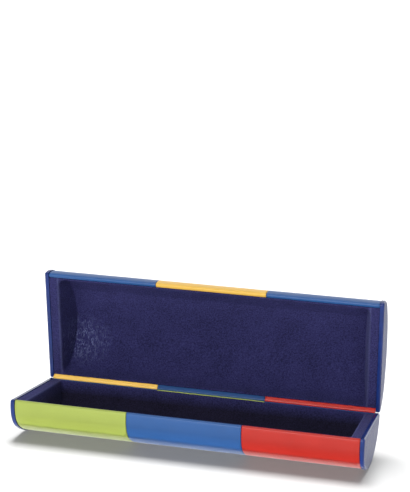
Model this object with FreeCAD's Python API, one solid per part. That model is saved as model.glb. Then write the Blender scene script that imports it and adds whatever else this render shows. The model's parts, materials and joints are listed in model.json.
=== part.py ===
"""Hinged, tube-shaped spectacle case, modelled open.

Two long half tubes of thin steel are joined by two barrel hinges along the rear rims.
Each half wears six leatherette panels, has a plastic cap at each end and holds a flocked
liner tray.  A snap spring in the base presses on a cam on the lid.

Every piece of a half is drawn in the base's rim frame: X along the case, Y towards the
hinge, Z up, with the rim tops at Z = 0.  A lid piece is the same shape mirrored across the
gap between the rims, then swung open about the hinge pin.  At the end the whole case is
moved so that the origin is the bottom centre of its bounding box.
"""
import math
import os

import FreeCAD
import Part

# Driving dimensions of the case, in millimetres and degrees
LENGTH = 160.0            # over the end caps
HALF_WIDTH = 27.5         # from the middle plane to the outside of a rim
HALF_DEPTH = 18.5         # from the rim tops to the outside of one half
SIDE_RADIUS = 14.0        # outside radius beside the rims
OPEN_ANGLE = 73.0         # between the two rim planes, as modelled
RIM_GAP = 0.8             # between the rims when their planes are parallel

# Layers of the wall, from the outside in
COVER = 0.75              # leatherette
SHELL_OUT = 0.80          # outside of the steel shell
SHELL_IN = 1.20           # inside of the steel shell
HEM_OUT = 1.25            # leatherette turned in over the rim
HEM_IN = 2.10
LINER_OUT = 2.70          # outside of the liner's trough
LINER_IN = 3.50
RIM_ROUND = HEM_IN / 2    # the covered rim is a half-round bead
HEM_ANGLE = 16.0          # how far down the side arc the hem reaches
SHELL_TOP = -0.95         # top edge of the steel, under the bead
GLUE = 0.05               # clearance between glued pieces

# Panels and end caps
CAP_THICK = 2.0
CAP_EDGE = 0.9            # rounding round the end face
CAP_PROUD = 0.3           # the caps stand out past the leatherette
CAP_RISE = 0.1            # and above the rim tops
CAP_GAP = 0.12            # between a cap and the panels beside it
PANEL_SPLIT = 26.0        # the panels' cross seams are at plus and minus this X
SEAM = 0.12
SPIGOT_LENGTH = 3.7
SPIGOT_IN = 3.40
SPIGOT_TOP = -1.6

# Liner tray
FLANGE_TOP = -0.7
FLANGE_BOTTOM = -1.4
FLANGE_EDGE = 2.15        # offset of the flange's outer edge
TRAY_END = 73.2           # inside of the recess's end walls
TRAY_ROUND = 4.0          # between the recess's floor and its end walls
TRAY_LIP = 0.5            # rounding where the flange turns into the recess

# Hinges and snap
HINGE_X = 41.5
HINGE_LENGTH = 65.0
KNUCKLES = 11
KNUCKLE_RADIUS = 0.60
KNUCKLE_GAP = 0.12
PIN_OFFSET = 0.45         # pin's axis, in from the outside of the rims
PIN_RADIUS = 0.30
BORE_RADIUS = 0.33
NOTCH_RADIUS = 0.70       # room for the barrels in the covered rims
NOTCH_MARGIN = 0.25
LEAF_OUT = 1.25           # a leaf lies on the inside of the steel,
LEAF_IN = 1.55
LEAF_ANGLE = 38.0         # reaches this far down the side arc,
BRIDGE_LOW = -0.80        # crosses over the steel's edge inside the bead
BRIDGE_TOP = -0.50
RISER_OUT = 0.30          # and rises to its knuckles
RISER_IN = 0.60
SPRING_WIDTH = 13.0
SPRING_TOP = -0.25
CAM_WIDTH = 10.0
CAM_FLAT = 0.50           # distance of the cam's flat from the pin's axis

# Worked out from the above: the section is one belly arc between two side arcs
SIDE_Y = HALF_WIDTH - SIDE_RADIUS
SIDE_Z = -RIM_ROUND
ARC_DEPTH = HALF_DEPTH - RIM_ROUND
BELLY_RADIUS = (SIDE_Y ** 2 + ARC_DEPTH ** 2 - SIDE_RADIUS ** 2) / (2 * (ARC_DEPTH - SIDE_RADIUS))
BELLY_Z = BELLY_RADIUS - HALF_DEPTH
JOIN_ANGLE = math.degrees(math.atan2(BELLY_Z - SIDE_Z, SIDE_Y))
BODY_END = LENGTH / 2 - CAP_THICK
BEAD_Y = HALF_WIDTH - RIM_ROUND
PIN_Y = HALF_WIDTH - PIN_OFFSET
PIN_Z = RIM_GAP / 2

NEAR = 1e-3               # how exactly an edge has to lie where it's looked for
ORIGIN = FreeCAD.Vector(0, 0, 0)
X_AXIS = FreeCAD.Vector(1, 0, 0)
Y_AXIS = FreeCAD.Vector(0, 1, 0)
Z_AXIS = FreeCAD.Vector(0, 0, 1)


def at(y, z):
    """Point of a cross-section, in the plane X = 0."""
    return FreeCAD.Vector(0, y, z)


def side_point(offset, angle, side=1):
    """Point on a side arc, angle degrees below the horizontal, offset inside the outside."""
    radius = SIDE_RADIUS - offset
    turn = math.radians(angle)
    return at(side * (SIDE_Y + radius * math.cos(turn)), SIDE_Z - radius * math.sin(turn))


def side_arc(offset, start, end, side=1):
    """Side arc from one angle to another."""
    middle = side_point(offset, (start + end) / 2, side)
    return Part.Arc(side_point(offset, start, side), middle, side_point(offset, end, side)).toShape()


def belly_point(offset, y):
    """Point on the belly arc at a given Y."""
    return at(y, BELLY_Z - math.sqrt((BELLY_RADIUS - offset) ** 2 - y ** 2))


def belly_arc(offset, start_y, end_y):
    """Belly arc from one Y to another."""
    middle = belly_point(offset, (start_y + end_y) / 2)
    return Part.Arc(belly_point(offset, start_y), middle, belly_point(offset, end_y)).toShape()


def join_y(offset):
    """Y where a side arc turns into the belly arc."""
    return side_point(offset, JOIN_ANGLE).y


def line(start, end):
    """Straight edge."""
    return Part.LineSegment(start, end).toShape()


def prism(edges, x_start, x_end):
    """Closed cross-section run along X."""
    face = Part.Face(Part.Wire(Part.__sortEdges__(edges)))
    face.translate(FreeCAD.Vector(x_start, 0, 0))
    return face.extrude(FreeCAD.Vector(x_end - x_start, 0, 0))


def trough(offset, x_start, x_end, top):
    """Filled half tube, offset inside the case's outside and level at the top."""
    half = HALF_WIDTH - offset
    edge = join_y(offset)
    edges = [line(at(half, top), side_point(offset, 0)), side_arc(offset, 0, JOIN_ANGLE),
             belly_arc(offset, edge, -edge), side_arc(offset, JOIN_ANGLE, 0, -1),
             line(side_point(offset, 0, -1), at(-half, top)), line(at(-half, top), at(half, top))]
    return prism(edges, x_start, x_end)


def rim_plate(x_start, x_end, riser_top, room=0.0):
    """Strip that follows the steel's inside up to the rim, crosses over the edge and rises.

    A room above zero draws the space that the strip needs in the leatherette.
    """
    outer, inner = LEAF_OUT - room, LEAF_IN + room
    low, high = BRIDGE_LOW - 2 * room, BRIDGE_TOP + room
    riser_out, riser_in = HALF_WIDTH - RISER_OUT + room, HALF_WIDTH - RISER_IN - room
    corners = [side_point(inner, 0), at(HALF_WIDTH - inner, high), at(riser_in, high),
               at(riser_in, riser_top), at(riser_out, riser_top), at(riser_out, low),
               at(HALF_WIDTH - outer, low), side_point(outer, 0)]
    edges = [line(start, end) for start, end in zip(corners, corners[1:])]
    edges += [side_arc(outer, 0, LEAF_ANGLE), side_arc(inner, LEAF_ANGLE, 0),
              line(side_point(outer, LEAF_ANGLE), side_point(inner, LEAF_ANGLE))]
    return prism(edges, x_start, x_end)


def pin_cylinder(radius, x_start, x_end):
    """Cylinder on the hinge axis."""
    return Part.makeCylinder(radius, x_end - x_start, FreeCAD.Vector(x_start, PIN_Y, PIN_Z), X_AXIS)


def box(x_range, y_range, z_range):
    """Block between two values on each axis."""
    corner = FreeCAD.Vector(x_range[0], y_range[0], z_range[0])
    return Part.makeBox(x_range[1] - x_range[0], y_range[1] - y_range[0], z_range[1] - z_range[0], corner)


def barrel_notch(middle, width):
    """Room in a covered rear rim for a barrel or the cam, and for the strips that hold it."""
    x_start = middle - width / 2 - NOTCH_MARGIN
    x_end = middle + width / 2 + NOTCH_MARGIN
    return pin_cylinder(NOTCH_RADIUS, x_start, x_end).fuse(rim_plate(x_start, x_end, PIN_Z, GLUE))


def cover_panel(side, x_start, x_end):
    """Leatherette panel from the seam under the belly, up over the rim and in as a hem."""
    seam_y = SEAM / 2
    bead_top = Part.Arc(side_point(0, 0), at(BEAD_Y, 0), side_point(HEM_IN, 0)).toShape()
    slot_out = at(HALF_WIDTH - COVER, SHELL_TOP + GLUE)
    slot_in = at(HALF_WIDTH - HEM_OUT, SHELL_TOP + GLUE)
    edges = [belly_arc(0, seam_y, join_y(0)), side_arc(0, JOIN_ANGLE, 0), bead_top,
             side_arc(HEM_IN, 0, HEM_ANGLE),
             line(side_point(HEM_IN, HEM_ANGLE), side_point(HEM_OUT, HEM_ANGLE)),
             side_arc(HEM_OUT, HEM_ANGLE, 0), line(side_point(HEM_OUT, 0), slot_in),
             line(slot_in, slot_out), line(slot_out, side_point(COVER, 0)),
             side_arc(COVER, 0, JOIN_ANGLE), belly_arc(COVER, join_y(COVER), seam_y),
             line(belly_point(COVER, seam_y), belly_point(0, seam_y))]
    panel = prism(edges, x_start, x_end)
    if side < 0:
        return panel.mirror(ORIGIN, Y_AXIS)
    for middle, width in ((-HINGE_X, HINGE_LENGTH), (0, SPRING_WIDTH), (HINGE_X, HINGE_LENGTH)):
        if x_start < middle + width / 2 and middle - width / 2 < x_end:
            panel = panel.cut(barrel_notch(middle, width))
    return panel


def steel_shell():
    """Thin steel half tube that the other pieces are fixed to."""
    end = BODY_END - GLUE
    return trough(SHELL_OUT, -end, end, SHELL_TOP).cut(trough(SHELL_IN, -LENGTH, LENGTH, SHELL_TOP))


def cap_corner(side):
    """Quarter round between a cap's straight top and its side."""
    radius = CAP_RISE - SIDE_Z
    centre_y = HALF_WIDTH + CAP_PROUD - radius
    turn = radius * math.sqrt(0.5)
    middle = at(side * (centre_y + turn), SIDE_Z + turn)
    return Part.Arc(side_point(-CAP_PROUD, 0, side), middle, at(side * centre_y, CAP_RISE)).toShape()


def end_cap(side):
    """Half-round plate with a spigot that pushes into the half tube."""
    edge = join_y(-CAP_PROUD)
    corners = [cap_corner(1), cap_corner(-1)]
    top_y = max(v.Point.y for v in corners[0].Vertexes if v.Point.z > 0)
    plate = prism(corners + [side_arc(-CAP_PROUD, 0, JOIN_ANGLE), belly_arc(-CAP_PROUD, edge, -edge),
                             side_arc(-CAP_PROUD, JOIN_ANGLE, 0, -1),
                             line(at(-top_y, CAP_RISE), at(top_y, CAP_RISE))], BODY_END, LENGTH / 2)
    rim = [e for e in plate.Edges if e.BoundBox.XMin > LENGTH / 2 - NEAR]
    plate = plate.makeFillet(CAP_EDGE, rim)
    start = BODY_END - SPIGOT_LENGTH
    spigot = trough(SHELL_IN + GLUE, start, BODY_END, 0)
    spigot = spigot.cut(trough(SPIGOT_IN, start - 1, BODY_END, 0))
    spigot = spigot.cut(box((start, BODY_END), (-HALF_WIDTH, HALF_WIDTH), (SPIGOT_TOP, 0)))
    hem_end = side_point(HEM_OUT, HEM_ANGLE).z - 2 * GLUE
    hem_room = box((start, BODY_END), (-HALF_WIDTH, HALF_WIDTH), (hem_end, 0))
    hem_room = hem_room.cut(trough(HEM_IN + 2 * GLUE, start - 1, LENGTH, 0))
    cap = plate.fuse(spigot.cut(hem_room)).removeSplitter()
    return cap if side > 0 else cap.mirror(ORIGIN, X_AXIS)


def tray_core(offset, x_end, radius, top):
    """Block with the recess's shape: a half tube with rounded ends to its floor."""
    core = trough(offset, -x_end, x_end, top)
    ends = [e for e in core.Edges if e.BoundBox.XLength < NEAR and e.BoundBox.ZMin < top - NEAR]
    return core.makeFillet(radius, ends)


def liner():
    """Flocked tray: a flange round a deep recess."""
    wall = LINER_IN - LINER_OUT
    flange = trough(FLANGE_EDGE, -BODY_END + GLUE, BODY_END - GLUE, FLANGE_TOP)
    flange = flange.common(box((-LENGTH, LENGTH), (-LENGTH, LENGTH), (FLANGE_BOTTOM, 0)))
    outer = tray_core(LINER_OUT, TRAY_END + wall, TRAY_ROUND + wall, FLANGE_TOP)
    tray = flange.fuse(outer).cut(tray_core(LINER_IN, TRAY_END, TRAY_ROUND, 0)).removeSplitter()
    lip_y = HALF_WIDTH - LINER_IN
    lip = [e for e in tray.Edges if e.BoundBox.ZMin > FLANGE_TOP - NEAR
           and e.BoundBox.XMax < TRAY_END + NEAR and e.BoundBox.XMin > -TRAY_END - NEAR
           and e.BoundBox.YMax < lip_y + NEAR and e.BoundBox.YMin > -lip_y - NEAR]
    return tray.makeFillet(TRAY_LIP, lip)


def hinge_leaf(middle, knuckle_numbers):
    """Strip on the inside of the steel, with its share of the rolled knuckles."""
    start = middle - HINGE_LENGTH / 2
    leaf = rim_plate(start, start + HINGE_LENGTH, PIN_Z)
    pitch = HINGE_LENGTH / KNUCKLES
    for number in range(KNUCKLES):
        x_start = start + number * pitch + KNUCKLE_GAP / 2
        x_end = start + (number + 1) * pitch - KNUCKLE_GAP / 2
        if number in knuckle_numbers:
            leaf = leaf.fuse(pin_cylinder(KNUCKLE_RADIUS, x_start, x_end))
        else:
            leaf = leaf.cut(pin_cylinder(NOTCH_RADIUS, x_start - KNUCKLE_GAP, x_end + KNUCKLE_GAP))
    return leaf.cut(pin_cylinder(BORE_RADIUS, start - 1, start + HINGE_LENGTH + 1)).removeSplitter()


def hinge_pin(middle):
    """Pin as long as its barrel."""
    return pin_cylinder(PIN_RADIUS, middle - HINGE_LENGTH / 2, middle + HINGE_LENGTH / 2)


def snap_spring():
    """Flat spring on the base whose top edge bears on the cam."""
    return rim_plate(-SPRING_WIDTH / 2, SPRING_WIDTH / 2, SPRING_TOP)


def snap_cam():
    """Rolled cam on the lid, with a flat that the spring meets when the case is shut."""
    half = CAM_WIDTH / 2
    flat = box((-LENGTH, LENGTH), (0, LENGTH), (PIN_Z + CAM_FLAT, PIN_Z + 1))
    lobe = pin_cylinder(KNUCKLE_RADIUS, -half, half).cut(flat)
    return rim_plate(-half, half, PIN_Z).fuse(lobe).removeSplitter()


def half_pieces(name):
    """The pieces that both halves have, in the rim frame."""
    pieces = {name + "_shell": steel_shell(), name + "_liner": liner()}
    end = BODY_END - CAP_GAP + SEAM / 2
    splits = (-end, -PANEL_SPLIT, PANEL_SPLIT, end)
    for row, side in (("front", -1), ("rear", 1)):
        for number, place in enumerate(("left", "middle", "right")):
            x_start = splits[number] + SEAM / 2
            x_end = splits[number + 1] - SEAM / 2
            pieces[f"{name}_cover_{row}_{place}"] = cover_panel(side, x_start, x_end)
    for place, side in (("left", -1), ("right", 1)):
        pieces[f"{name}_end_cap_{place}"] = end_cap(side)
    return pieces


def base_pieces():
    """All the pieces of the base, with the pins, in the rim frame."""
    pieces = half_pieces("base")
    for place, middle in (("left", -HINGE_X), ("right", HINGE_X)):
        pieces[f"base_hinge_leaf_{place}"] = hinge_leaf(middle, range(0, KNUCKLES, 2))
        pieces[f"hinge_pin_{place}"] = hinge_pin(middle)
    pieces["snap_spring"] = snap_spring()
    return pieces


def lid_pieces():
    """All the pieces of the lid, swung open."""
    pieces = half_pieces("lid")
    for place, middle in (("left", -HINGE_X), ("right", HINGE_X)):
        pieces[f"lid_hinge_leaf_{place}"] = hinge_leaf(middle, range(1, KNUCKLES, 2))
    pieces["snap_cam"] = snap_cam()
    pin = FreeCAD.Vector(0, PIN_Y, PIN_Z)
    for name, shape in pieces.items():
        swung = shape.mirror(pin, Z_AXIS)
        swung.rotate(pin, X_AXIS, -OPEN_ANGLE)
        pieces[name] = swung
    return pieces


def main():
    """Builds, checks and writes every piece, with the case standing on the ground."""
    os.makedirs("parts", exist_ok=True)
    pieces = {**base_pieces(), **lid_pieces()}
    bounds = Part.makeCompound(list(pieces.values())).optimalBoundingBox()
    to_origin = FreeCAD.Vector(-bounds.Center.x, -bounds.Center.y, -bounds.ZMin)
    for name, shape in pieces.items():
        shape.translate(to_origin)
        solids = shape.Solids
        if not shape.isValid() or len(solids) != 1:
            raise ValueError(f"{name}: {len(solids)} solids, valid {shape.isValid()}")
        solids[0].exportStep(f"parts/{name}.step")
    pin = FreeCAD.Vector(0, PIN_Y, PIN_Z) + to_origin
    print(f"{len(pieces)} pieces, {bounds.XLength:.2f} x {bounds.YLength:.2f} x {bounds.ZLength:.2f} mm")
    print(f"hinge axis at y {pin.y:.4f}, z {pin.z:.4f}; rim tops at z {to_origin.z:.4f}")


main()
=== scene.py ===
"""Looks of a hinged spectacle case with colour-block leatherette, built on its CAD frame.

Every soft or covered piece is drawn in the rim frame of the case's base: millimetres, X along
the case, Y towards the hinge, Z up, rim tops at Z = 0.  A lid piece is the same shape mirrored
across the gap between the rims and swung open about the hinge pin.
"""
import json
import math

import bmesh
import bpy
from mathutils import Matrix, Vector, noise


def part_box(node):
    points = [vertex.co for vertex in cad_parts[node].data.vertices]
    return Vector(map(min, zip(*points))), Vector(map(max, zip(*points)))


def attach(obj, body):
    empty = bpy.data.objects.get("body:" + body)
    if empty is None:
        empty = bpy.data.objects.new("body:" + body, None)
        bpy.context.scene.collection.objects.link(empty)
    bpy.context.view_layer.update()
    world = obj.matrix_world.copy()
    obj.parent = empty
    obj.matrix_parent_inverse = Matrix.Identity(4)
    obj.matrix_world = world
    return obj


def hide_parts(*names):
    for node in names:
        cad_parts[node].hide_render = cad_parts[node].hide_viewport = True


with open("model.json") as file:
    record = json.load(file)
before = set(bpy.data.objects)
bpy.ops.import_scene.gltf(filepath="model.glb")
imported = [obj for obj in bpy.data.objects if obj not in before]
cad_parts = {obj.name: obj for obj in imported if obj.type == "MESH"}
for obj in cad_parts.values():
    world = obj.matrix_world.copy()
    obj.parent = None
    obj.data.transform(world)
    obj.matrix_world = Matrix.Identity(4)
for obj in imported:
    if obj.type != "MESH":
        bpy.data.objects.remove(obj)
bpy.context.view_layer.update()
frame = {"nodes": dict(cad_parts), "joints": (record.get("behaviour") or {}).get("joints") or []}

# The case, in millimetres and degrees
MM = 0.001
HALF_WIDTH = 27.5         # from the middle plane to the outside of a rim
HALF_DEPTH = 18.5         # from the rim tops to the outside of one half
SIDE_RADIUS = 14.0        # outside radius beside the rims
OPEN_ANGLE = 73.0         # between the two rim planes
RIM_GAP = 0.8             # between the rims when their planes are parallel
PIN_OFFSET = 0.45         # pin's axis, in from the outside of the rims
RIM_ROUND = 1.05          # radius of the covered rim's bead
SLEEVE_OUT = 0.78         # the lid's rear leatherette, wrapped round the hinge barrel
SLEEVE_IN = 0.62
SLEEVE_HIDDEN = (-60, 240)  # turn of the sleeve's inside, in degrees
COVE = 0.86               # hollow that it turns in, in the base's rear leatherette
COVER = 0.75              # leatherette
HEM_OUT = 1.25            # where it's turned in over the rim
HEM_IN = 2.10
HEM_ANGLE = 16.0          # how far down the side arc the hem reaches
LINER_IN = 2.95           # inside of the liner's recess
CAP_THICK = 2.0
CAP_GAP = 0.12            # between a cap and the panels beside it
PANEL_SPLIT = 26.0        # the panels' cross seams are at plus and minus this X
SEAM = 0.12
FLANGE_TOP = -0.25        # Z of the liner's flange
FLANGE_SIDE = 25.50       # half width of the liner's flange
FLANGE_END = 77.92        # half length of the liner's flange
FLANGE_ROLL = 0.20        # its rounded edge
FLANGE_ROUND = 0.6        # and its corners, seen from above
TRAY_END = 73.2           # half length of the recess at its mouth
TRAY_ROUND = 2.6          # the recess's corners at its mouth, seen from above
FLOOR_ROUND = 0.8         # and at its floor
TRAY_LIP = 1.10           # rounding of its lip at the ends
SIDE_LIP = 0.50           # and at the long sides
WALL_DRAFT = 3.0          # how far the recess's end walls lean in
LINER_THICK = 0.45

# Worked out from the above: the section is one belly arc between two side arcs
HALF_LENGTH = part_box("base_end_cap_right")[1].x / MM
SIDE_Y = HALF_WIDTH - SIDE_RADIUS
SIDE_Z = -RIM_ROUND
ARC_DEPTH = HALF_DEPTH - RIM_ROUND
BELLY_RADIUS = (SIDE_Y ** 2 + ARC_DEPTH ** 2 - SIDE_RADIUS ** 2) / (2 * (ARC_DEPTH - SIDE_RADIUS))
BELLY_Z = BELLY_RADIUS - HALF_DEPTH
JOIN_ANGLE = math.atan2(BELLY_Z - SIDE_Z, SIDE_Y)
PIN_Y = HALF_WIDTH - PIN_OFFSET
PIN_Z = RIM_GAP / 2
PIN = Vector(frame["joints"][0]["pos_m"])

COLOURS = {
    "green": (0.385, 0.470, 0.084),
    "blue": (0.018, 0.098, 0.315),
    "red": (0.520, 0.015, 0.006),
    "yellow": (0.940, 0.560, 0.085),
}
LAYOUT = {
    ("lid", "front"): ("blue", "yellow", "blue"),
    ("lid", "rear"): ("yellow", "blue", "red"),
    ("base", "rear"): ("blue", "green", "blue"),
    ("base", "front"): ("green", "blue", "red"),
}
PLACES = ("left", "middle", "right")


# ---------------------------------------------------------------- places in the row frame

def place(half, point):
    """A rim frame point, in millimetres, as a point of the row frame, in metres."""
    x, y, z = point
    if half == "lid":
        turn = math.radians(OPEN_ANGLE)
        out, up = y - PIN_Y, PIN_Z - z
        y = PIN_Y + out * math.cos(turn) + up * math.sin(turn)
        z = PIN_Z - out * math.sin(turn) + up * math.cos(turn)
    return Vector((x * MM, PIN.y + (y - PIN_Y) * MM, PIN.z + (z - PIN_Z) * MM))


WELD = 0.002              # points of a mesh that are nearer than this become one
SHARP_ANGLE = math.radians(38)
TRAY_SHARP_ANGLE = math.radians(70)


def mesh_object(name, points, faces, half, sharp_angle=SHARP_ANGLE):
    """Mesh from rim frame points, placed in the row frame, smooth but for its sharp edges."""
    mesh = bpy.data.meshes.new(name)
    mesh.from_pydata([place(half, p) for p in points], [], faces)
    bm = bmesh.new()
    bm.from_mesh(mesh)
    bmesh.ops.remove_doubles(bm, verts=bm.verts, dist=WELD * MM)
    bmesh.ops.recalc_face_normals(bm, faces=bm.faces)
    for edge in bm.edges:
        edge.smooth = not (len(edge.link_faces) == 2 and edge.calc_face_angle() > sharp_angle)
    for face in bm.faces:
        face.smooth = True
    bm.to_mesh(mesh)
    bm.free()
    piece = bpy.data.objects.new(name, mesh)
    bpy.context.scene.collection.objects.link(piece)
    return piece


def finish_piece(piece, material, half, node):
    """Material, body and replaced node of a new piece."""
    piece.data.materials.append(material)
    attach(piece, half)
    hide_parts(node)


# ---------------------------------------------------------------- cross-section

def side_arc(offset, start, end, count):
    """Points and outward normals along the side arc, angles in radians below the horizontal."""
    radius = SIDE_RADIUS - offset
    points = []
    for step in range(count):
        turn = start + (end - start) * step / (count - 1)
        y, z = math.cos(turn), -math.sin(turn)
        points.append((SIDE_Y + radius * y, SIDE_Z + radius * z, y, z))
    return points


def belly_arc(offset, start_y, count):
    """Points and outward normals from a Y near the middle out to the side arc."""
    radius = BELLY_RADIUS - offset
    start = math.asin(start_y / radius)
    end = math.pi / 2 - JOIN_ANGLE
    points = []
    for step in range(count):
        turn = start + (end - start) * step / (count - 1)
        y, z = math.sin(turn), -math.cos(turn)
        points.append((radius * y, BELLY_Z + radius * z, y, z))
    return points


def circle(centre, radius, start, end, count):
    """Points and outward normals round part of a circle, angles in degrees."""
    points = []
    for step in range(count):
        turn = math.radians(start + (end - start) * step / (count - 1))
        y, z = math.cos(turn), math.sin(turn)
        points.append((centre[0] + radius * y, centre[1] + radius * z, y, z))
    return points


BEAD = (HALF_WIDTH - RIM_ROUND, SIDE_Z)
BARREL = (PIN_Y, PIN_Z)
BEAD_COUNT = 19           # points round a rim's bead,
NECK_COUNT = 6            # on each side of the sleeve,
SLEEVE_COUNT = 24         # and round the sleeve


def sleeve_turns():
    """Angles where the lid's sleeve leaves its rim's bead outside, and where it joins it inside."""
    away = math.dist(BEAD, BARREL)
    towards = math.degrees(math.atan2(BARREL[1] - BEAD[1], BARREL[0] - BEAD[0]))
    along = (away ** 2 + RIM_ROUND ** 2 - SLEEVE_OUT ** 2) / (2 * away)
    bead_turn = towards - math.degrees(math.acos(along / RIM_ROUND))
    sleeve_turn = towards - 180 + math.degrees(math.acos((away - along) / SLEEVE_OUT))
    inside_turn = towards + math.degrees(math.acos((RIM_ROUND - SLEEVE_OUT) / away))
    return bead_turn, sleeve_turn, inside_turn


def rim_turn(half, row):
    """Outside and inside of the leatherette over a rim, from the side arc to the turned-in hem."""
    if (half, row) == ("lid", "rear"):
        bead_turn, sleeve_turn, inside_turn = sleeve_turns()
        outside = circle(BEAD, RIM_ROUND, 0, bead_turn, NECK_COUNT)
        outside += circle(BARREL, SLEEVE_OUT, sleeve_turn, inside_turn, SLEEVE_COUNT)
        outside += circle(BEAD, RIM_ROUND, inside_turn, 180, NECK_COUNT)
        inside = circle(BARREL, SLEEVE_IN, *SLEEVE_HIDDEN, len(outside))
        return outside, inside
    outside = circle(BEAD, RIM_ROUND, 0, 180, BEAD_COUNT)
    if (half, row) == ("base", "rear"):
        outside = [out_of_cove(point) for point in outside]
    centre = (HALF_WIDTH - (COVER + HEM_OUT) / 2, SIDE_Z)
    return outside, circle(centre, (HEM_OUT - COVER) / 2, 0, 180, BEAD_COUNT)


def out_of_cove(point):
    """A point of the base's rear bead, kept clear of the lid's sleeve."""
    y, z, ny, nz = point
    away_y, away_z = y - BARREL[0], z - BARREL[1]
    away = math.hypot(away_y, away_z)
    if away >= COVE:
        return point
    return (BARREL[0] + away_y * COVE / away, BARREL[1] + away_z * COVE / away, ny, nz)


# ---------------------------------------------------------------- leatherette panels

EDGE_ROUND = 0.32         # how far a panel's cut edge is turned down
EDGE_STEPS = 5
PANEL_STEP = 1.5          # spacing of a panel's points along the case
BELLY_COUNT = 24          # points round a panel's section: along the belly,
SIDE_COUNT = 20           # up the side
HEM_COUNT = 6             # and down the hem
PANEL_WAVE = 0.035        # the leatherette isn't dead flat on the steel
WAVE_SCALE = 0.11         # waves per millimetre along the case
WAVE_SQUEEZE = 1.3        # and how much closer they are round it


def edge_drop(distance):
    """How far the surface lies below the panel at a distance from its cut edge."""
    if distance >= EDGE_ROUND:
        return 0.0
    across = 1 - distance / EDGE_ROUND
    return EDGE_ROUND * (1 - math.sqrt(1 - across * across))


def stations(start, end):
    """X values along a panel, closer together where its two ends are rounded."""
    turns = [math.pi / 2 * step / EDGE_STEPS for step in range(EDGE_STEPS + 1)]
    ends = [EDGE_ROUND * (1 - math.cos(turn)) for turn in turns]
    first, last = start + EDGE_ROUND, end - EDGE_ROUND
    count = round((last - first) / PANEL_STEP)
    middle = [first + (last - first) * step / count for step in range(1, count)]
    return [start + e for e in ends] + middle + [end - e for e in reversed(ends)]


def cover_panel(half, row, place_name, x_start, x_end):
    """One leatherette panel: up over the rim, and turned in."""
    side = -1 if row == "front" else 1
    hem = math.radians(HEM_ANGLE)
    rim_outside, rim_inside = rim_turn(half, row)
    outer = belly_arc(0, SEAM / 2, BELLY_COUNT) + side_arc(0, JOIN_ANGLE, 0, SIDE_COUNT)[1:]
    outer += rim_outside[1:]
    outer += [(y, z, -ny, -nz) for y, z, ny, nz in side_arc(HEM_IN, 0, hem, HEM_COUNT)][1:]
    inner = belly_arc(COVER, SEAM / 2, BELLY_COUNT) + side_arc(COVER, JOIN_ANGLE, 0, SIDE_COUNT)[1:]
    inner += rim_inside[1:] + side_arc(HEM_OUT, 0, hem, HEM_COUNT)[1:]

    run = [0.0]
    for a, b in zip(outer, outer[1:]):
        run.append(run[-1] + math.hypot(b[0] - a[0], b[1] - a[1]))
    xs = stations(x_start, x_end)
    points = []
    for x in xs:
        from_end = min(x - x_start, x_end - x)
        for (y, z, ny, nz), length in zip(outer, run):
            drop = max(edge_drop(from_end), edge_drop(length))
            where = Vector((x, side * y * WAVE_SQUEEZE, length * WAVE_SQUEEZE)) * WAVE_SCALE
            drop += PANEL_WAVE * (0.5 + 0.5 * noise.noise(where))
            points.append((x, side * (y - ny * drop), z - nz * drop))
        points += [(x, side * y, z) for y, z, _, _ in inner]

    count = len(outer)
    faces = []
    for column in range(len(xs) - 1):
        a, b = column * 2 * count, (column + 1) * 2 * count
        for i in range(count - 1):
            faces.append((a + i, a + i + 1, b + i + 1, b + i))
            faces.append((a + count + i, b + count + i, b + count + i + 1, a + count + i + 1))
        faces.append((a, b, b + count, a + count))
        faces.append((a + count - 1, a + 2 * count - 1, b + 2 * count - 1, b + count - 1))
    last = (len(xs) - 1) * 2 * count
    for i in range(count - 1):
        faces.append((i, i + count, i + count + 1, i + 1))
        faces.append((last + i, last + i + 1, last + i + count + 1, last + i + count))
    name = f"leatherette_{half}_{row}_{place_name}"
    return mesh_object(name, points, faces, half)


# ---------------------------------------------------------------- liner trays

FINE_STEP = 0.42          # spacing along the recess, where the lining is creased
COARSE_STEP = 1.2         # and elsewhere
CREASED_END = -48.0       # X where the closer spacing ends
END_STEPS = 26
CORNER_STEPS = 8
DEPTH_COUNT = 60          # points down the recess, from its mouth to the middle of its floor,
WALL_COUNT = 30           # spread evenly over a finer line up the side
FLOOR_COUNT = 40          # and across the belly
ROLL_STEPS = 4
FLANGE_STEPS = 4
LIP_STEPS = 8
NAP_WAVE = 0.05           # slow unevenness of the flocked surface
NAP_WAVE_SCALE = 0.09     # and its waves per millimetre
NAP_FINE = 0.03           # tufts
NAP_FINE_SCALE = 1.3
CREASE_AT = (-65.5, 12.0)  # X and Y of the middle of the lid's creases,
CREASE_REACH = (9.5, 10.5)  # how far they spread
CREASE_HEIGHT = 0.34
CREASE_CROSS = 0.7        # height of those that run across, as a share of the upright ones
CREASE_FALL = 3.5         # how steeply a crease falls away on both sides
CREASE_END = 6            # square of the share of that reach past which there are none


def even_points(points, count):
    """Points spaced evenly along a line of points."""
    run = [0.0]
    for a, b in zip(points, points[1:]):
        run.append(run[-1] + math.hypot(b[0] - a[0], b[1] - a[1]))
    even, leg = [], 0
    for step in range(count):
        target = run[-1] * step / (count - 1)
        while leg < len(points) - 2 and run[leg + 1] < target:
            leg += 1
        share = (target - run[leg]) / (run[leg + 1] - run[leg])
        a, b = points[leg], points[leg + 1]
        even.append((a[0] + (b[0] - a[0]) * share, a[1] + (b[1] - a[1]) * share))
    return even


def side_shares():
    """Places along the recess's long sides, from -1 to 1."""
    half_length = TRAY_END - TRAY_ROUND
    creased, plain = CREASED_END + half_length, half_length - CREASED_END
    fine, coarse = round(creased / FINE_STEP), round(plain / COARSE_STEP)
    xs = [-half_length + creased * step / fine for step in range(fine)]
    xs += [CREASED_END + plain * step / coarse for step in range(coarse + 1)]
    return [x / half_length for x in xs]


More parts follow.
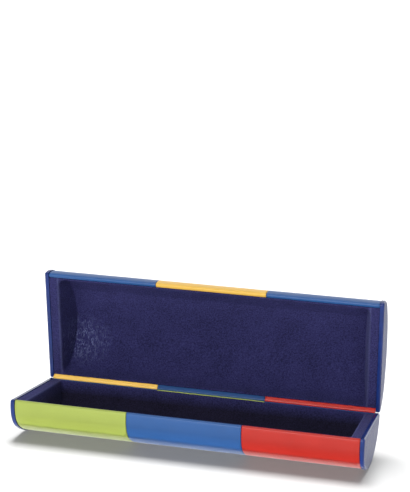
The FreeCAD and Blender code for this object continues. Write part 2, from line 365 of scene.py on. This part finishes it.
def outline(half_length, half_width, rounding):
    """Rounded rectangle, once round from its left end's front corner."""
    straight_x, straight_y = half_length - rounding, half_width - rounding
    turns = [math.pi / 2 * step / CORNER_STEPS for step in range(1, CORNER_STEPS)]
    corner = [(rounding * math.sin(turn), rounding * math.cos(turn)) for turn in turns]
    shares = side_shares()
    ends = [2 * step / END_STEPS - 1 for step in range(END_STEPS + 1)]
    line = [(share * straight_x, -half_width) for share in shares]
    line += [(straight_x + a, -straight_y - b) for a, b in corner]
    line += [(half_length, share * straight_y) for share in ends]
    line += [(straight_x + b, straight_y + a) for a, b in corner]
    line += [(share * straight_x, half_width) for share in reversed(shares)]
    line += [(-straight_x - a, straight_y + b) for a, b in corner]
    line += [(-half_length, -share * straight_y) for share in ends]
    line += [(-straight_x - b, -straight_y - a) for a, b in corner]
    return line


def tray_levels():
    """Outlines from the flange's edge down to the recess's floor: length, width, rounding and Z."""
    levels = []
    for step in range(ROLL_STEPS + 1):
        turn = math.pi / 2 * step / ROLL_STEPS
        inset, drop = FLANGE_ROLL * (1 - math.cos(turn)), FLANGE_ROLL * (1 - math.sin(turn))
        levels.append((FLANGE_END - inset, FLANGE_SIDE - inset, FLANGE_ROUND, FLANGE_TOP - drop))
    mouth_width = HALF_WIDTH - LINER_IN
    mouth_z = FLANGE_TOP - TRAY_LIP
    edge = levels[-1]
    lip = (TRAY_END + TRAY_LIP, mouth_width + SIDE_LIP, TRAY_ROUND + SIDE_LIP, FLANGE_TOP)
    for step in range(1, FLANGE_STEPS + 1):
        share = step / FLANGE_STEPS
        levels.append(tuple(a + (b - a) * share for a, b in zip(edge, lip)))
    for step in range(1, LIP_STEPS + 1):
        turn = math.pi / 2 * step / LIP_STEPS
        out = 1 - math.sin(turn)
        levels.append((TRAY_END + TRAY_LIP * out, mouth_width + SIDE_LIP * out,
                       TRAY_ROUND + SIDE_LIP * out, mouth_z + TRAY_LIP * math.cos(turn)))
    side = [(y, z) for y, z, _, _ in side_arc(LINER_IN, 0, JOIN_ANGLE, WALL_COUNT) if z < mouth_z]
    belly = [(y, z) for y, z, _, _ in belly_arc(LINER_IN, 0, FLOOR_COUNT)]
    section = even_points([(mouth_width, mouth_z)] + side + belly[::-1][1:], DEPTH_COUNT)
    floor_z = section[-1][1]
    for y, z in section[1:]:
        share = (mouth_z - z) / (mouth_z - floor_z)
        rounding = FLOOR_ROUND + (TRAY_ROUND - FLOOR_ROUND) * (1 - share) ** 2
        levels.append((TRAY_END - WALL_DRAFT * share, y, min(rounding, y), z))
    return levels


def ridge(x, y, z):
    """From 1 on a wandering line, where the noise is zero, to 0 a little way beside it."""
    return max(1 - abs(noise.noise(Vector((x, y, z)))) * CREASE_FALL, 0)


def crease_height(x, y):
    """Small creases that the lid's lining shows where it was pressed into the tray."""
    away = ((x - CREASE_AT[0]) / CREASE_REACH[0]) ** 2 + ((y - CREASE_AT[1]) / CREASE_REACH[1]) ** 2
    if away > CREASE_END:
        return 0.0
    upright = ridge(x * 0.62 + y * 0.15, y * 0.34, 7.0)
    across = ridge(x * 0.40, y * 0.75, 11.0)
    return CREASE_HEIGHT * math.exp(-away) * (upright + CREASE_CROSS * across)


def liner(half):
    """Flocked tray: flange, rounded lip, walls and floor in one sheet, then given thickness."""
    rows = []
    for half_length, half_width, rounding, z in tray_levels():
        rows.append([Vector((x, y, z)) for x, y in outline(half_length, half_width, rounding)])
    count = len(rows[0])
    points = []
    raised = {}    # by starting point, so that points which meet on the middle line stay together
    for number, row in enumerate(rows):
        before, after = rows[max(number - 1, 0)], rows[min(number + 1, len(rows) - 1)]
        for i, point in enumerate(row):
            along = row[(i + 1) % count] - row[i - 1]
            normal = along.cross(after[i] - before[i])
            normal = normal.normalized() if normal.length > 1e-6 else Vector((0, 0, 1))
            height = noise.noise(point * NAP_WAVE_SCALE) * NAP_WAVE
            height += noise.noise(point * NAP_FINE_SCALE) * NAP_FINE
            if half == "lid":
                height += crease_height(point.x, point.y)
            spot = tuple(round(c, 3) for c in point)
            points.append(raised.setdefault(spot, tuple(point + normal * height)))
    faces = []
    for number in range(len(rows) - 1):
        a, b = number * count, (number + 1) * count
        for i in range(count):
            right = (i + 1) % count
            faces.append((a + i, a + right, b + right, b + i))
    piece = mesh_object(f"flocked_liner_{half}", points, faces, half, TRAY_SHARP_ANGLE)
    shell = piece.modifiers.new("thickness", "SOLIDIFY")
    shell.thickness = LINER_THICK * MM
    shell.offset = -1
    return piece


# ---------------------------------------------------------------- materials

LINER_COLOUR = (0.033, 0.032, 0.116)
# painted highlight: the pale colour of the tray's lips and of the lid's folds
PAINTED_HIGHLIGHT_COLOUR = (0.180, 0.205, 0.420)
LIP_PAINTED_HIGHLIGHT = 0.22         # share of painted highlight on the lips at the tray's ends,
LIP_NEAR = 0.0001         # in full up to this distance in metres from the middle of a lip,
LIP_FAR = 0.0007          # and fading out to this one
FOLD_HIGHLIGHT_AT = (-67.0, 12.5, -15.0)  # middle of the painted highlight on the folds at the lid's left end, in its rim frame
FOLD_HIGHLIGHT_REACH = (15.0, 20.0, 12.5)  # how far they spread along X, Y and Z of the row frame
PAINTED_SHADE_TINT = (0.42, 0.38, 0.26)  # painted shade: the base's flock is darkened by this
PAINTED_SHADE_START = -1.2         # from this Z of its rim frame
PAINTED_SHADE_END = -6.0           # down to this one
CAP_COLOUR = (0.014, 0.036, 0.185)
SCUFF_AND_REFLECTION_COLOUR = (0.110, 0.112, 0.172)
FACE_START = 0.30         # the pale scuffs and painted reflection fade in from here to the flat of a cap's end face,
FACE_END = 0.05           # counted back from its end
SHELL_COLOUR = (0.035, 0.036, 0.042)
HINGE_COLOUR = (0.16, 0.16, 0.17)
PAPER_COLOUR = (0.15, 0.15, 0.15)
GLOW_START, GLOW_LOW = 0.16, 0.16  # Y in metres, and strength of the paper's own light, near the case
GLOW_END, GLOW_HIGH = 1.6, 1.05  # and where it begins to curve up

MIX_SHARE, MIX_FIRST, MIX_SECOND, MIX_RESULT = 0, 6, 7, 2  # a colour Mix node's sockets


def feed(tree, node, inputs):
    """Sets a node's inputs, each to a value or to another node's socket."""
    for key, value in inputs.items():
        if isinstance(value, bpy.types.NodeSocket):
            tree.links.new(value, node.inputs[key])
        else:
            node.inputs[key].default_value = value


def add(tree, kind, inputs, **settings):
    """New node with its settings and its inputs."""
    node = tree.nodes.new(kind)
    for key, value in settings.items():
        setattr(node, key, value)
    feed(tree, node, inputs)
    return node


def new_material(name):
    """Node material: itself, its node tree, its shader and its object coordinates, in metres."""
    material = bpy.data.materials.new(name)
    material.use_nodes = True
    tree = material.node_tree
    where = add(tree, "ShaderNodeTexCoord", {}).outputs["Object"]
    return material, tree, tree.nodes["Principled BSDF"], where


def object_noise(tree, where, scale, detail, roughness):
    """Noise at a size given by scale, in cycles per metre."""
    inputs = {"Vector": where, "Scale": scale, "Detail": detail, "Roughness": roughness}
    return add(tree, "ShaderNodeTexNoise", inputs).outputs["Fac"]


def stretched(tree, where, scale):
    """Coordinates scaled along X, Y and Z."""
    return add(tree, "ShaderNodeMapping", {"Vector": where, "Scale": scale}).outputs["Vector"]


def split(tree, where):
    """The X, Y and Z of coordinates, by name."""
    return add(tree, "ShaderNodeSeparateXYZ", {"Vector": where}).outputs


def ramp(tree, value, low, high, start, end):
    """Maps a value between start and end to between low and high."""
    inputs = {"Value": value, "From Min": start, "From Max": end, "To Min": low, "To Max": high}
    return add(tree, "ShaderNodeMapRange", inputs).outputs["Result"]


def spread(tree, value, low, high):
    """Maps noise, which is nearly all between 0.3 and 0.7, to between low and high."""
    return ramp(tree, value, low, high, 0.3, 0.7)


def math_node(tree, operation, *values):
    """Result of an operation on sockets or numbers."""
    return add(tree, "ShaderNodeMath", dict(enumerate(values)), operation=operation).outputs[0]


def mixed(tree, share, first, second, blend_type="MIX"):
    """Two colours, each a socket or three numbers, mixed by a share of the second."""
    colours = [c if isinstance(c, bpy.types.NodeSocket) else (*c, 1) for c in (first, second)]
    inputs = {MIX_SHARE: share, MIX_FIRST: colours[0], MIX_SECOND: colours[1]}
    node = add(tree, "ShaderNodeMix", inputs, data_type="RGBA", blend_type=blend_type)
    return node.outputs[MIX_RESULT]


def tinted(tree, colour, value, darker, lighter):
    """A colour made darker or lighter by a value from 0 to 1."""
    dark = [c * darker for c in colour]
    light = [min(c * lighter, 1) for c in colour]
    return mixed(tree, value, dark, light)


def bump(tree, height, strength, distance):
    """Normal of a surface raised by a height from 0 to 1, over a distance in metres."""
    inputs = {"Height": height, "Strength": strength, "Distance": distance}
    return add(tree, "ShaderNodeBump", inputs).outputs["Normal"]


def leatherette(name, colour):
    """Smooth coated leatherette with a fine pebble grain."""
    material, tree, shader, where = new_material(name)
    pebbles = add(tree, "ShaderNodeTexVoronoi", {"Vector": where, "Scale": 1900, "Smoothness": 0.6},
                  feature="SMOOTH_F1").outputs["Distance"]
    pores = object_noise(tree, where, 5200, 3, 0.6)
    patches = object_noise(tree, where, 70, 3, 0.55)
    height = math_node(tree, "ADD", pebbles, math_node(tree, "MULTIPLY", pores, 0.5))
    shade = math_node(tree, "ADD", spread(tree, patches, 0, 0.7), spread(tree, pores, 0, 0.3))
    feed(tree, shader, {
        "Base Color": tinted(tree, colour, shade, 0.93, 1.06),
        "Roughness": spread(tree, patches, 0.33, 0.42),
        "Specular IOR Level": 0.45,
        "Normal": bump(tree, height, 0.22, 0.00006),
    })
    return material


def fold_highlight_lines(tree, where):
    """Painted highlight: thin wandering upright pale lines on the lid's folds at its left end, strong
    in the middle and fading out.
    """
    folds = object_noise(tree, stretched(tree, where, (1, 1, 0.32)), 980, 1, 0.5)
    off_fold = math_node(tree, "ABSOLUTE", math_node(tree, "SUBTRACT", folds, 0.5))
    lines = ramp(tree, off_fold, 1, 0, 0, 0.07)
    middle = place("lid", FOLD_HIGHLIGHT_AT)
    reach = [size * MM for size in FOLD_HIGHLIGHT_REACH]
    centred = add(tree, "ShaderNodeMapping", {
        "Vector": where,
        "Location": [-at / size for at, size in zip(middle, reach)],
        "Scale": [1 / size for size in reach],
    })
    away = add(tree, "ShaderNodeVectorMath", {0: centred.outputs["Vector"]}, operation="LENGTH")
    fading = ramp(tree, away.outputs["Value"], 1, 0, 0.2, 1.1)
    broken = ramp(tree, object_noise(tree, where, 420, 2, 0.5), 0, 1, 0.33, 0.55)
    return math_node(tree, "MULTIPLY", lines, math_node(tree, "MULTIPLY", fading, broken))


def flock(half):
    """Short dense flock, dull and mottled, with a painted highlight: a pale band on the lips at the
    tray's ends.

    The base's has painted shade, darker down in the recess, and the lid's has painted highlight lines
    on its folds too.
    """
    material, tree, shader, where = new_material("liner_flock_" + half)
    tufts = object_noise(tree, where, 1700, 3, 0.75)
    fibres = object_noise(tree, where, 9000, 1, 0.5)
    nap = object_noise(tree, where, 90, 3, 0.6)
    shade = math_node(tree, "ADD", spread(tree, nap, 0, 0.2), ramp(tree, tufts, 0, 0.8, 0.35, 0.65))
    colour = tinted(tree, LINER_COLOUR, shade, 0.45, 1.75)
    axes = split(tree, where)
    along = math_node(tree, "ABSOLUTE", axes["X"])
    lip_x = (TRAY_END + TRAY_LIP / 2) * MM
    off_lip = math_node(tree, "ABSOLUTE", math_node(tree, "SUBTRACT", along, lip_x))
    # painted highlight: a pale band along the lips at the tray's ends
    painted_highlight = ramp(tree, off_lip, LIP_PAINTED_HIGHLIGHT, 0, LIP_NEAR, LIP_FAR)
    if half == "base":
        # painted shade: the base's flock darkens from the rim down into its recess
        rim_z = place("base", (0, 0, 0)).z
        painted_shade = ramp(tree, axes["Z"], 1, 0, rim_z + PAINTED_SHADE_END * MM, rim_z + PAINTED_SHADE_START * MM)
        colour = mixed(tree, painted_shade, colour, PAINTED_SHADE_TINT, "MULTIPLY")
    else:
        # painted highlight: pale lines along the lid's folds
        painted_highlight = math_node(tree, "MAXIMUM", painted_highlight, fold_highlight_lines(tree, where))
    height = math_node(tree, "ADD", tufts, math_node(tree, "MULTIPLY", fibres, 0.6))
    feed(tree, shader, {
        "Base Color": mixed(tree, painted_highlight, colour, PAINTED_HIGHLIGHT_COLOUR),
        "Roughness": 0.95,
        "Specular IOR Level": 0.12,
        "Sheen Weight": 0.18,
        "Sheen Roughness": 0.45,
        "Sheen Tint": (0.35, 0.38, 0.85, 1),
        "Normal": bump(tree, height, 0.55, 0.00018),
    })
    return material


def cap_plastic():
    """Glossy moulded plastic whose end face has fine upright pale scuffs, partly real grain and partly
    painted reflection.
    """
    material, tree, shader, where = new_material("cap_plastic")
    along = math_node(tree, "ABSOLUTE", split(tree, where)["X"])
    face = ramp(tree, along, 0, 1, (HALF_LENGTH - FACE_START) * MM, (HALF_LENGTH - FACE_END) * MM)
    grain = object_noise(tree, stretched(tree, where, (1, 1, 0.12)), 3400, 3, 0.65)
    patches = object_noise(tree, where, 160, 4, 0.6)
    # pale upright scuffs on the end face: partly real grain, partly painted reflection
    scuffs_and_reflection = math_node(tree, "MULTIPLY", face, ramp(tree, grain, 0.40, 0.90, 0.38, 0.64))
    plastic = tinted(tree, CAP_COLOUR, spread(tree, patches, 0, 1), 0.85, 1.2)
    smooth = spread(tree, patches, 0.14, 0.24)
    height = math_node(tree, "MULTIPLY", grain, math_node(tree, "ADD", face, 0.04))
    feed(tree, shader, {
        "Base Color": mixed(tree, scuffs_and_reflection, plastic, SCUFF_AND_REFLECTION_COLOUR),
        "Roughness": math_node(tree, "ADD", smooth, math_node(tree, "MULTIPLY", face, 0.30)),
        "Specular IOR Level": ramp(tree, face, 0.3, 0.08, 0, 1),
        "Normal": bump(tree, height, 0.6, 0.00012),
    })
    return material


def strip_steel(name, colour, roughness):
    """Dark strip steel with fine rolling marks along the case."""
    material, tree, shader, where = new_material(name)
    marks = object_noise(tree, stretched(tree, where, (0.06, 1, 1)), 6000, 3, 0.6)
    feed(tree, shader, {
        "Base Color": tinted(tree, colour, marks, 0.8, 1.25),
        "Metallic": 1.0,
        "Roughness": spread(tree, marks, roughness - 0.08, roughness + 0.1),
        "Normal": bump(tree, marks, 0.12, 0.00003),
    })
    return material


def pale_floor():
    """White paper sweep, lit from behind, that also glows with painted light of its own, weak near the
    case and strong where it rises into the backdrop.
    """
    material, tree, shader, where = new_material("studio_sweep")
    grain = object_noise(tree, where, 40, 3, 0.5)
    feed(tree, shader, {
        "Base Color": tinted(tree, PAPER_COLOUR, grain, 0.985, 1.01),
        "Roughness": 0.6,
        "Specular IOR Level": 0.25,
        "Emission Color": (1, 1, 1, 1),
        "Emission Strength": ramp(tree, split(tree, where)["Y"], GLOW_LOW, GLOW_HIGH,
                                  GLOW_START, GLOW_END),
    })
    return material


# ---------------------------------------------------------------- pieces

def make_covers():
    """The twelve leatherette panels."""
    body_end = HALF_LENGTH - CAP_THICK - CAP_GAP + SEAM / 2
    splits = (-body_end, -PANEL_SPLIT, PANEL_SPLIT, body_end)
    materials = {name: leatherette("leatherette_" + name, colour) for name, colour in COLOURS.items()}
    for (half, row), colours in LAYOUT.items():
        for number, (place_name, colour) in enumerate(zip(PLACES, colours)):
            x_start = splits[number] + SEAM / 2
            x_end = splits[number + 1] - SEAM / 2
            panel = cover_panel(half, row, place_name, x_start, x_end)
            node = f"{half}_cover_{row}_{place_name}"
            finish_piece(panel, materials[colour], half, node)


def make_liners():
    """The flocked tray of each half."""
    for half in ("base", "lid"):
        finish_piece(liner(half), flock(half), half, half + "_liner")


def paint_cad():
    """Materials of the CAD pieces that stay as they are."""
    plastic = cap_plastic()
    shell = strip_steel("shell_steel", SHELL_COLOUR, 0.45)
    hinge = strip_steel("hinge_steel", HINGE_COLOUR, 0.35)
    for name, node in frame["nodes"].items():
        if "end_cap" in name:
            material = plastic
        elif name.endswith("_shell"):
            material = shell
        else:
            material = hinge
        node.data.materials.clear()
        node.data.materials.append(material)


# ---------------------------------------------------------------- studio, in metres

CAMERA_AT = Vector((0.14757, -0.67054, 0.17116))
CAMERA_AIM = Vector((-0.00243, 0.0, 0.09160))
CAMERA_ROLL = 3.51        # degrees
CAMERA_LENS = 111.7       # its focal length
CAMERA_SENSOR = 36        # and its sensor's width, both in millimetres
SWEEP_NEAR = -3.0         # Y where the floor starts,
SWEEP_FAR = 1.6           # and where it begins to curve up
SWEEP_BEND = 0.8
SWEEP_TOP = 3.0
SWEEP_HALF_WIDTH = 4.0
SWEEP_STEPS = 24
WORLD_COLOUR = (0.97, 0.98, 1.0, 1)
WORLD_STRENGTH = 0.30
HINGE_LINE = ("leatherette_lid_rear_left", "leatherette_lid_rear_right", "leatherette_base_rear_middle")


def make_camera():
    """Long-lens camera, a little right of the case and above it, and slightly rolled."""
    forward = (CAMERA_AIM - CAMERA_AT).normalized()
    level = forward.cross(Vector((0, 0, 1))).normalized()
    up = level.cross(forward)
    roll = math.radians(CAMERA_ROLL)
    right = level * math.cos(roll) + up * math.sin(roll)
    up = up * math.cos(roll) - level * math.sin(roll)
    turn = Matrix((right, up, -forward)).transposed().to_4x4()
    data = bpy.data.cameras.new("camera")
    data.lens = CAMERA_LENS
    data.sensor_width = CAMERA_SENSOR
    camera = bpy.data.objects.new("camera", data)
    camera.matrix_world = Matrix.Translation(CAMERA_AT) @ turn
    bpy.context.scene.collection.objects.link(camera)
    bpy.context.scene.camera = camera


def area_light(name, at, aim, size, power):
    """Rectangular soft light that points at a place, and that the camera doesn't see."""
    data = bpy.data.lights.new(name, "AREA")
    data.shape = "RECTANGLE"
    data.size, data.size_y = size
    data.energy = power
    light = bpy.data.objects.new(name, data)
    light.visible_camera = False
    light.location = at
    light.rotation_euler = (Vector(aim) - Vector(at)).to_track_quat("-Z", "Y").to_euler()
    bpy.context.scene.collection.objects.link(light)
    return light


def make_sweep():
    """Pale floor that curves up into a backdrop behind the case."""
    line = [(SWEEP_NEAR, 0.0), (SWEEP_FAR, 0.0)]
    for step in range(1, SWEEP_STEPS + 1):
        turn = math.pi / 2 * step / SWEEP_STEPS
        line.append((SWEEP_FAR + SWEEP_BEND * math.sin(turn), SWEEP_BEND * (1 - math.cos(turn))))
    line.append((SWEEP_FAR + SWEEP_BEND, SWEEP_TOP))
    points = [(x, y, z) for y, z in line for x in (-SWEEP_HALF_WIDTH, SWEEP_HALF_WIDTH)]
    faces = [(2 * i, 2 * i + 1, 2 * i + 3, 2 * i + 2) for i in range(len(line) - 1)]
    mesh = bpy.data.meshes.new("studio_sweep")
    mesh.from_pydata(points, [], faces)
    mesh.shade_smooth()
    mesh.materials.append(pale_floor())
    sweep = bpy.data.objects.new("studio_sweep", mesh)
    bpy.context.scene.collection.objects.link(sweep)


def make_studio():
    """Pale surroundings, and soft lights above the case, in front of it and to its right."""
    scene = bpy.context.scene
    scene.view_settings.view_transform = "Standard"
    world = bpy.data.worlds.new("studio")
    world.use_nodes = True
    background = world.node_tree.nodes["Background"]
    background.inputs["Color"].default_value = WORLD_COLOUR
    background.inputs["Strength"].default_value = WORLD_STRENGTH
    scene.world = world
    area_light("top", (-0.10, 0.00, 1.10), (0, 0, 0.02), (0.8, 0.8), 4.4)
    area_light("front_high", (-0.14, -1.10, 0.50), (0, 0, 0.04), (0.4, 0.4), 3.4)
    area_light("front_low", (-0.16, -1.18, 0.12), (0, 0, 0.04), (0.3, 0.3), 2.4)
    area_light("right_card", (0.50, 0.80, 0.30), (0.08, 0, 0.02), (0.6, 0.5), 0.7)


def light_only(light, receivers, blockers=None):
    """Only some objects receive a light, and only some block its way."""
    light.light_linking.receiver_collection = receivers
    if blockers:
        light.light_linking.blocker_collection = blockers


def collect(name, pieces):
    """New collection that holds the pieces."""
    collection = bpy.data.collections.new(name)
    for piece in pieces:
        collection.objects.link(piece)
    return collection


def light_parts():
    """Light for the hinge line alone, for the sweep alone, and from a light table under the case."""
    meshes = [piece for piece in bpy.context.scene.objects if piece.type == "MESH"]
    hinge_line = collect("hinge_line", [piece for piece in meshes if piece.name in HINGE_LINE])
    floor = collect("floor", [piece for piece in meshes if piece.name == "studio_sweep"])
    case = collect("case", [piece for piece in meshes if piece.name != "studio_sweep"])
    hinge_light = area_light("hinge_light", (-0.25, -0.45, 0.60), (0, 0.02, 0.02), (0.3, 0.2), 1.5)
    light_only(hinge_light, hinge_line)
    sweep_light = area_light("sweep_light", (-0.11, 0.36, 1.04), (0, 0, 0), (0.6, 0.9), 82.0)
    light_only(sweep_light, floor)
    table_front = area_light("table_front", (0, -0.30, -0.34), (0, 0, 0), (1.2, 0.6), 5.2)
    light_only(table_front, case, case)
    table_back = area_light("table_back", (0, 0.36, -0.20), (0, 0, 0), (1.2, 0.20), 18.0)
    table_back.visible_diffuse = False
    light_only(table_back, case, case)


make_camera()
make_studio()
make_sweep()
make_covers()
make_liners()
paint_cad()
light_parts()
